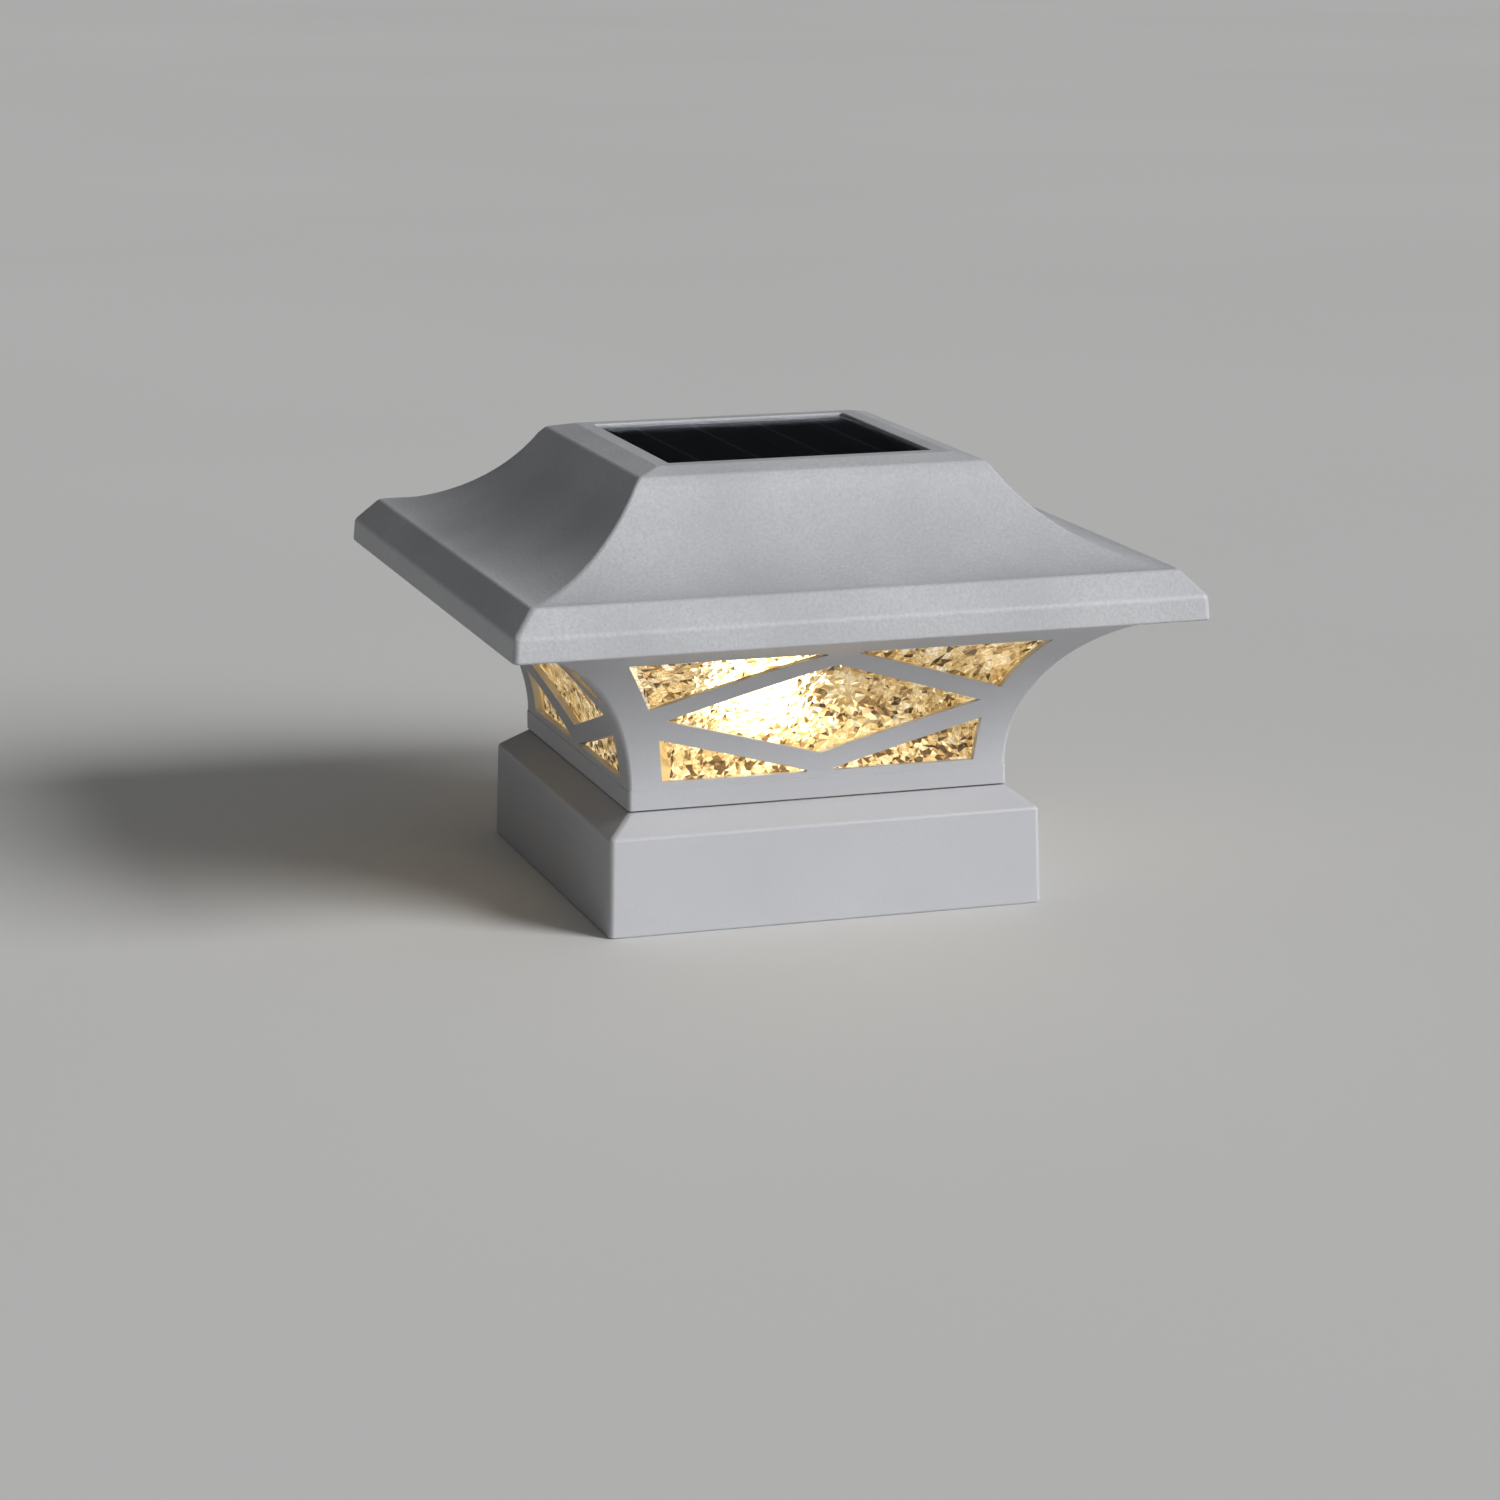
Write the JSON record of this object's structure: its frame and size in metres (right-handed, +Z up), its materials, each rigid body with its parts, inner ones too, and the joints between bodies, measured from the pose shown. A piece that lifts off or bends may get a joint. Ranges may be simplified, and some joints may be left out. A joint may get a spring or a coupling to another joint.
{
  "type": "solar post cap light",
  "caption": "Square solar light that caps a fence post: skirt, flared lantern with crackled panels behind a lattice, and a concave hipped roof with a solar panel in its top.",
  "frame": {"origin": "centre of the skirt's bottom edge, on the axis of the post", "axes": "+Z up the post, -Y towards the front side, +X to the right seen from the front"},
  "size_m": [0.216, 0.216, 0.1394],
  "materials": {
    "body_plastic": "light grey moulded ABS, fine grain on the roof",
    "lens_acrylic": "clear crackled acrylic lit warm from inside",
    "white_plastic": "white moulded ABS reflector",
    "diffuser_plastic": "frosted white polycarbonate",
    "solar_glass": "clear cover of the solar panel",
    "solar_cell": "dark silicon with fine contact lines",
    "board_laminate": "circuit board laminate",
    "backing_laminate": "black laminate behind the solar cells",
    "diode_package": "white diode package with a yellow phosphor",
    "steel": "zinc plated steel",
    "nickel": "nickel plated spring steel",
    "battery_wrap": "plain shrink sleeve",
    "rubber": "black foam rubber",
    "wire_red": "red wire insulation",
    "wire_black": "black wire insulation",
    "switch_plastic": "black moulded nylon"
  },
  "bodies": {
    "base": {"base_skirt": "body_plastic", "mounting_plate": "white_plastic", "plate_screws": "steel", "downlight_lens_front": "diffuser_plastic", "downlight_lens_right": "diffuser_plastic", "downlight_lens_back": "diffuser_plastic", "downlight_lens_left": "diffuser_plastic"},
    "lantern": {"lantern_frame": "body_plastic", "lens_front": "lens_acrylic", "lens_right": "lens_acrylic", "lens_back": "lens_acrylic", "lens_left": "lens_acrylic", "floor_plate": "white_plastic", "floor_screws": "steel", "battery_housing": "white_plastic", "door_hinge_pin": "steel", "battery": "battery_wrap", "positive_contact": "nickel", "negative_contact": "nickel", "battery_spring": "nickel", "switch_body": "switch_plastic", "lamp_seat": "diffuser_plastic", "circuit_board": "board_laminate", "led_chips": "diode_package", "diffuser_sleeve": "diffuser_plastic", "panel_wire_positive": "wire_red", "panel_wire_negative": "wire_black", "battery_wires": "wire_red", "switch_wires": "wire_black", "ceiling_reflector": "white_plastic", "roof_screws": "steel", "roof_gasket": "rubber", "roof_shell": "body_plastic", "panel_seal": "rubber", "solar_backing": "backing_laminate", "solar_cell_left": "solar_cell", "solar_cell_right": "solar_cell", "solar_cover": "solar_glass"},
    "door": {"battery_door": "white_plastic"},
    "slider": {"switch_slider": "switch_plastic"}
  },
  "joints": [
    {"name": "lantern_lift", "type": "slide", "parent": "base", "child": "lantern", "axis": [0, 0, 1], "range_m": [0, 0.12]},
    {"name": "battery_door_swing", "type": "hinge", "parent": "lantern", "child": "door", "pos_m": [0, -0.0114, 0.0303], "axis": [-1, 0, 0], "range_deg": [0, 100]},
    {"name": "switch_travel", "type": "slide", "parent": "lantern", "child": "slider", "axis": [-1, 0, 0], "range_m": [0, 0.004]}
  ]
}
